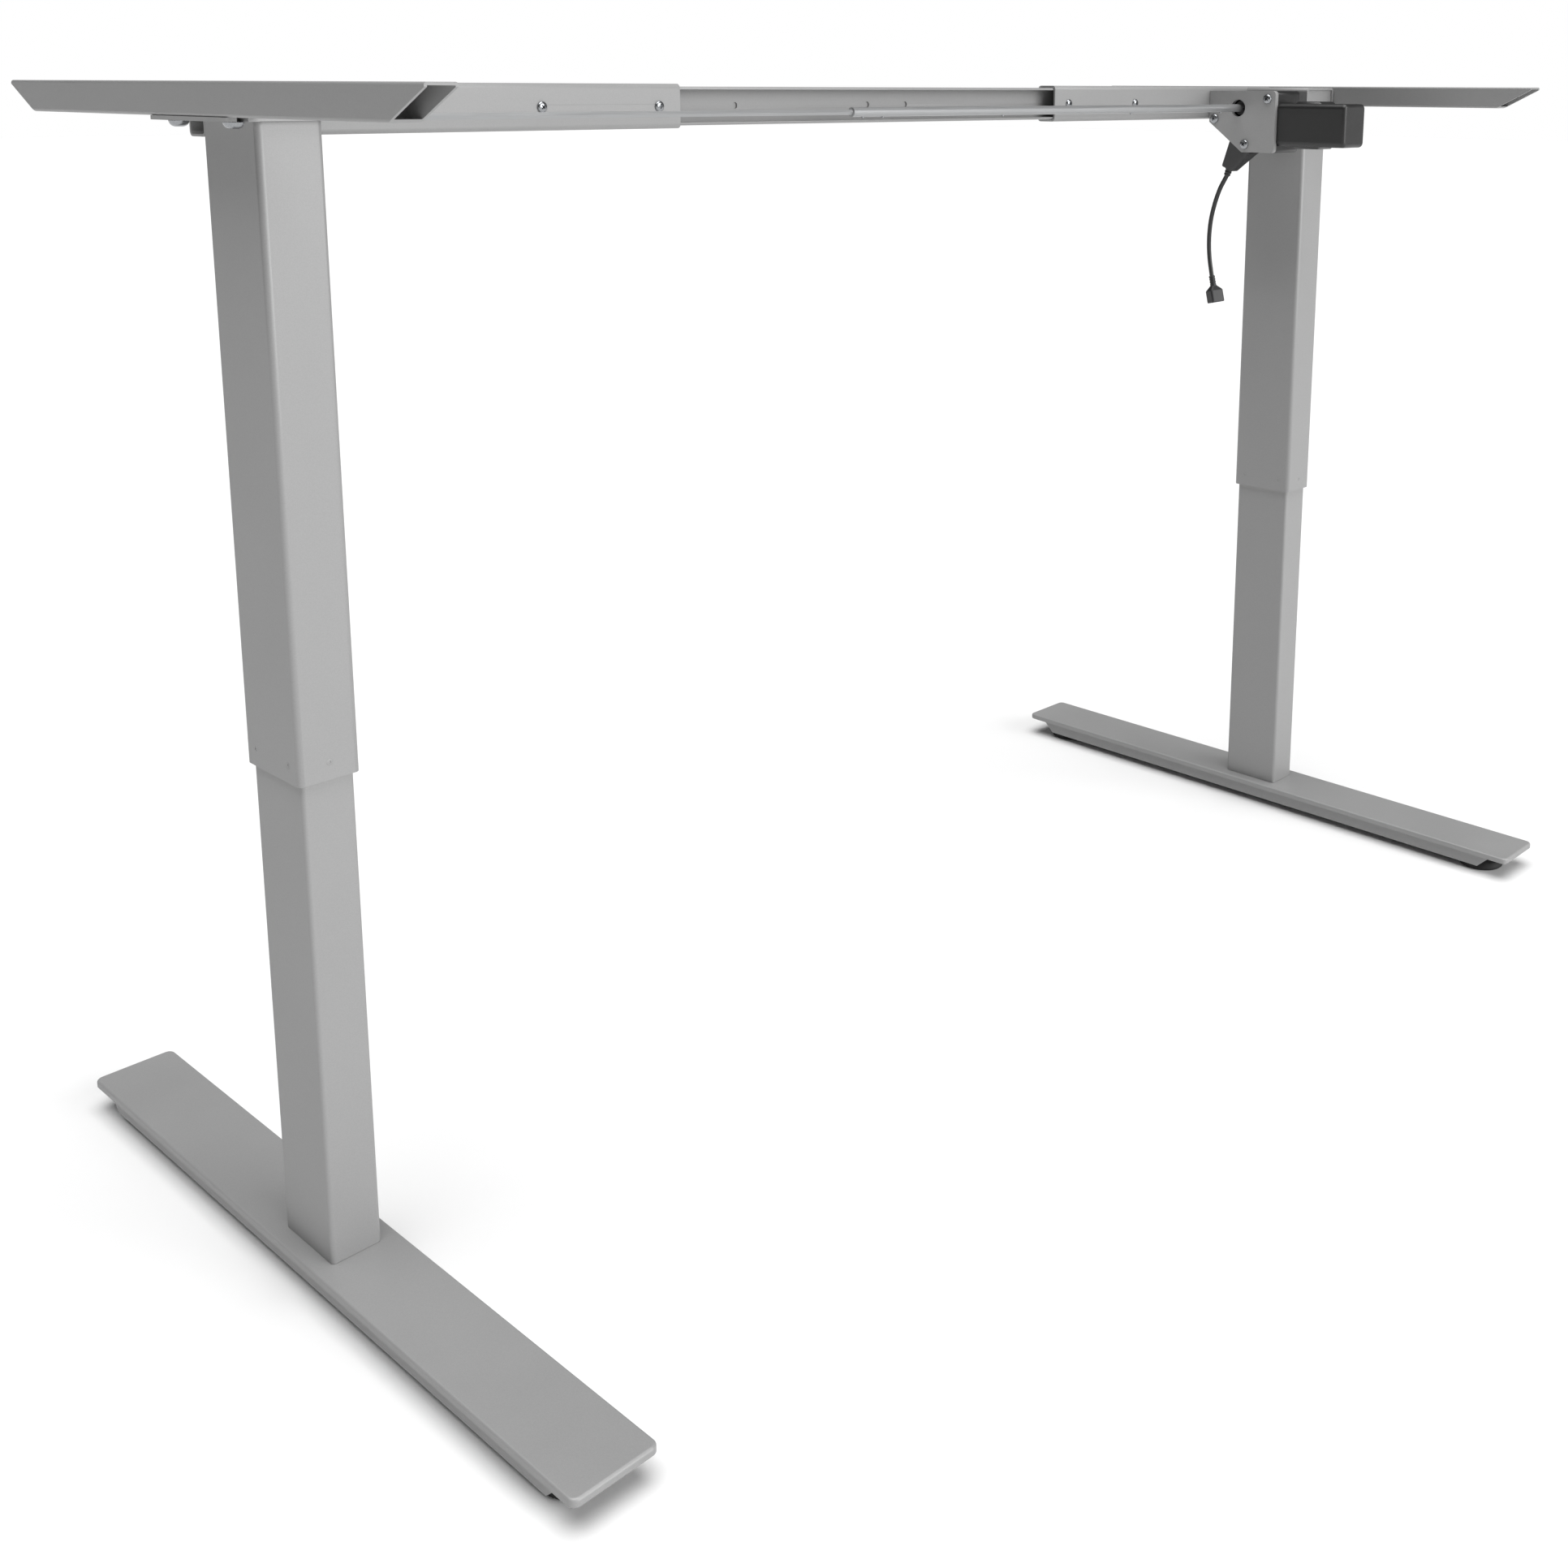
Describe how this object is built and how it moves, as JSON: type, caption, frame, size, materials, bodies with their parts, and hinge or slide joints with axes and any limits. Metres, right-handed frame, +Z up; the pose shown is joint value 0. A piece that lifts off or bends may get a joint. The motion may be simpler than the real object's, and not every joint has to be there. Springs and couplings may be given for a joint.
{
  "type": "height adjustable standing desk frame",
  "caption": "Height adjustable standing desk frame: two telescopic columns on plate feet, a telescopic crossbar, side brackets and a single drive motor.",
  "frame": {"origin": "on the floor, midway between the two columns and in the middle of the feet", "axes": "+X along the crossbar towards the motor side, -Y towards the motor end, +Z up"},
  "size_m": [1.473, 0.736, 0.937],
  "materials": {
    "silver_paint": "satin",
    "black_foot": "matte",
    "black_paint": "satin",
    "black_plastic": "matte",
    "cord_jacket": "satin",
    "nylon": "satin",
    "bright_steel": "satin",
    "zinc": "bright"
  },
  "bodies": {
    "base_left": {"foot_plate_left": "silver_paint", "foot_channel_left": "silver_paint", "foot_bolts_left": "zinc", "column_base_left": "silver_paint", "lower_column_left": "silver_paint", "upper_glide_left": "nylon", "lead_nut_left": "nylon"},
    "base_right": {"foot_plate_right": "silver_paint", "foot_channel_right": "silver_paint", "foot_bolts_right": "zinc", "column_base_right": "silver_paint", "lower_column_right": "silver_paint", "upper_glide_right": "nylon", "lead_nut_right": "nylon"},
    "top_left": {"upper_column_left": "silver_paint", "lower_glide_left": "nylon", "glide_pins_left": "black_plastic", "head_plate_left": "silver_paint", "side_bracket_left": "silver_paint", "bracket_bolts_left": "zinc", "bearing_block_left": "nylon", "crossbar_left": "silver_paint", "crossbar_screws_left": "zinc"},
    "top_right": {"upper_column_right": "silver_paint", "lower_glide_right": "nylon", "glide_pins_right": "black_plastic", "head_plate_right": "silver_paint", "side_bracket_right": "silver_paint", "bracket_bolts_right": "zinc", "bearing_block_right": "nylon", "crossbar_right": "silver_paint", "crossbar_screws_right": "zinc", "gearbox_cover": "silver_paint", "gearbox_screws": "zinc", "gearbox_housing": "black_paint", "motor_body": "black_paint", "cable_gland": "black_plastic", "strain_relief": "black_plastic", "motor_cord": "cord_jacket", "cord_connector": "black_plastic"},
    "rail": {"crossbar_centre": "silver_paint"},
    "screw_left": {"leadscrew_left": "bright_steel", "screw_bevel_left": "nylon"},
    "screw_right": {"leadscrew_right": "bright_steel", "screw_bevel_right": "nylon"},
    "shaft_left": {"hex_rod": "bright_steel", "shaft_bevel_left": "nylon"},
    "shaft_right": {"shaft_tube": "bright_steel", "shaft_bevel_right": "nylon", "grub_screws": "zinc", "worm_wheel": "nylon"},
    "worm_shaft": {"worm": "bright_steel"},
    "leveller_left_far": {"levelling_foot_left_far": "black_foot"},
    "leveller_left_near": {"levelling_foot_left_near": "black_foot"},
    "leveller_right_far": {"levelling_foot_right_far": "black_foot"},
    "leveller_right_near": {"levelling_foot_right_near": "black_foot"}
  },
  "joints": [
    {"name": "lift", "type": "slide", "parent": "base_left", "child": "top_left", "axis": [0, 0, 1], "range_m": [-0.335, 0.01]},
    {"name": "lift_right", "type": "slide", "parent": "top_right", "child": "base_right", "axis": [0, 0, -1], "range_m": [-0.335, 0.01]},
    {"name": "width_left", "type": "slide", "parent": "top_left", "child": "rail", "axis": [1, 0, 0], "range_m": [-0.2, 0.05]},
    {"name": "width_right", "type": "slide", "parent": "rail", "child": "top_right", "axis": [1, 0, 0], "range_m": [-0.2, 0.05]},
    {"name": "screw_left_turn", "type": "hinge", "parent": "top_left", "child": "screw_left", "pos_m": [-0.6815, 0, 0.6], "axis": [0, 0, 1], "range_deg": [-15076, 451]},
    {"name": "screw_right_turn", "type": "hinge", "parent": "top_right", "child": "screw_right", "pos_m": [0.6815, 0, 0.6], "axis": [0, 0, 1], "range_deg": [-451, 15076]},
    {"name": "shaft_left_turn", "type": "hinge", "parent": "top_left", "child": "shaft_left", "pos_m": [-0.3, 0, 0.911], "axis": [1, 0, 0], "range_deg": [-15076, 451]},
    {"name": "shaft_right_turn", "type": "hinge", "parent": "top_right", "child": "shaft_right", "pos_m": [0.3, 0, 0.911], "axis": [1, 0, 0], "range_deg": [-15076, 451]},
    {"name": "worm_turn", "type": "hinge", "parent": "top_right", "child": "worm_shaft", "pos_m": [0.596, -0.05, 0.89175], "axis": [0, 1, 0], "range_deg": [-422101, 12601]},
    {"name": "level_left_far", "type": "slide", "parent": "base_left", "child": "leveller_left_far", "axis": [0, 0, -1], "range_m": [0, 0.008]},
    {"name": "level_left_near", "type": "slide", "parent": "base_left", "child": "leveller_left_near", "axis": [0, 0, -1], "range_m": [0, 0.008]},
    {"name": "level_right_far", "type": "slide", "parent": "base_right", "child": "leveller_right_far", "axis": [0, 0, -1], "range_m": [0, 0.008]},
    {"name": "level_right_near", "type": "slide", "parent": "base_right", "child": "leveller_right_near", "axis": [0, 0, -1], "range_m": [0, 0.008]}
  ],
  "couplings": [
    {"joint": "lift_right", "follows": "lift", "ratio": 1},
    {"joint": "screw_left_turn", "follows": "lift", "rad_per_m": 785.4},
    {"joint": "screw_right_turn", "follows": "lift", "rad_per_m": -785.4},
    {"joint": "shaft_left_turn", "follows": "lift", "rad_per_m": 785.4},
    {"joint": "shaft_right_turn", "follows": "lift", "rad_per_m": 785.4},
    {"joint": "worm_turn", "follows": "lift", "rad_per_m": 21991}
  ]
}
